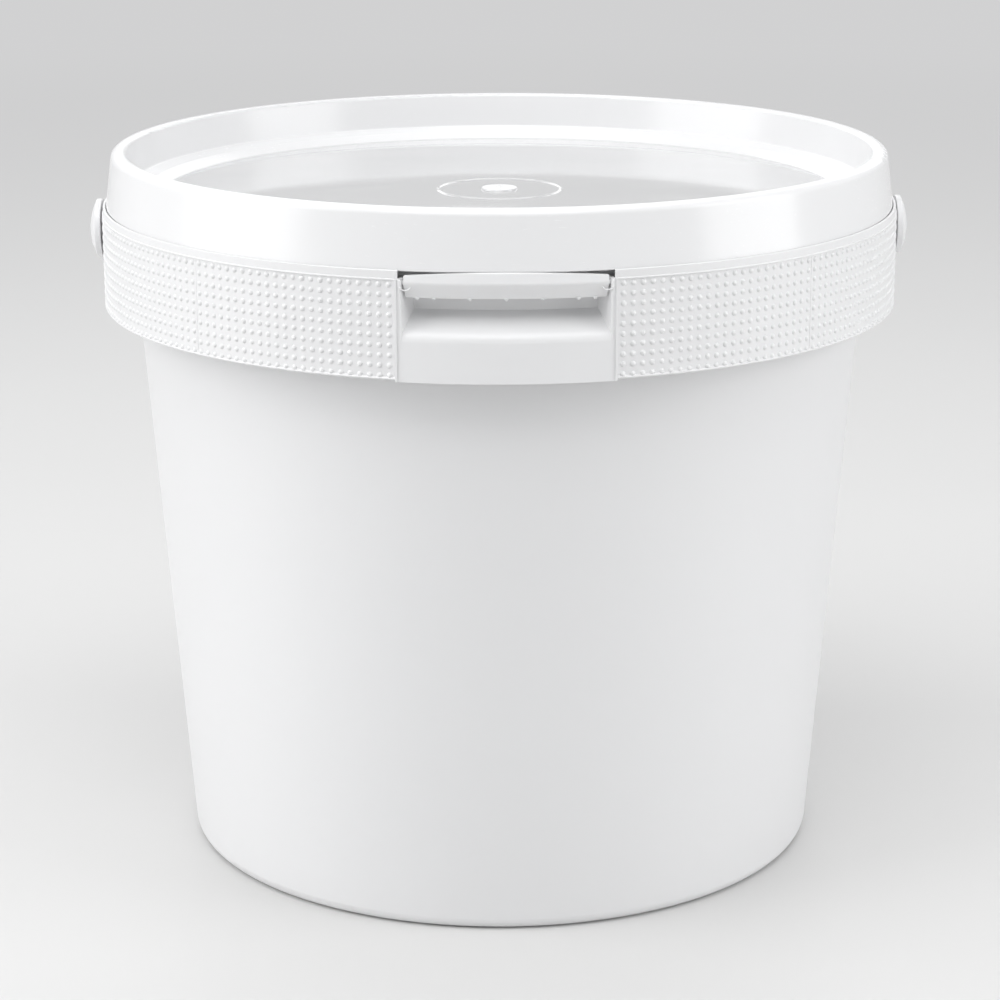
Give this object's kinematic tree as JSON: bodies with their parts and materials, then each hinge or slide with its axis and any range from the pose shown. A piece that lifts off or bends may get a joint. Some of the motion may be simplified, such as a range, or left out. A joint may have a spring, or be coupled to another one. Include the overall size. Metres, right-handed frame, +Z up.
{
  "type": "plastic pail with lid",
  "caption": "Round tapered white plastic pail with a dotted collar, press-on sunk lid, tear-off tab over a finger pocket, and a swinging plastic bail handle.",
  "frame": {"origin": "on the floor at the pail's axis", "axes": "+Z up, -Y to the side with the tab and finger pocket, X along the handle's pivot axis"},
  "size_m": [0.234, 0.2263, 0.202],
  "materials": {
    "pail_plastic": "white moulded polypropylene, satin, faint moulding waviness",
    "lid_plastic": "white moulded polypropylene, glossy, slightly wavy panel",
    "tab_plastic": "white moulded polypropylene, satin, thin and faintly translucent",
    "handle_plastic": "white moulded polypropylene, satin"
  },
  "bodies": {
    "pail": {"bucket": "pail_plastic", "lid": "lid_plastic", "tamper_tab": "tab_plastic"},
    "bail": {"handle": "handle_plastic"}
  },
  "joints": [
    {"name": "handle_swing", "type": "hinge", "parent": "pail", "child": "bail", "pos_m": [0, 0, 0.1784], "axis": [1, 0, 0], "range_deg": [0, 235]}
  ]
}
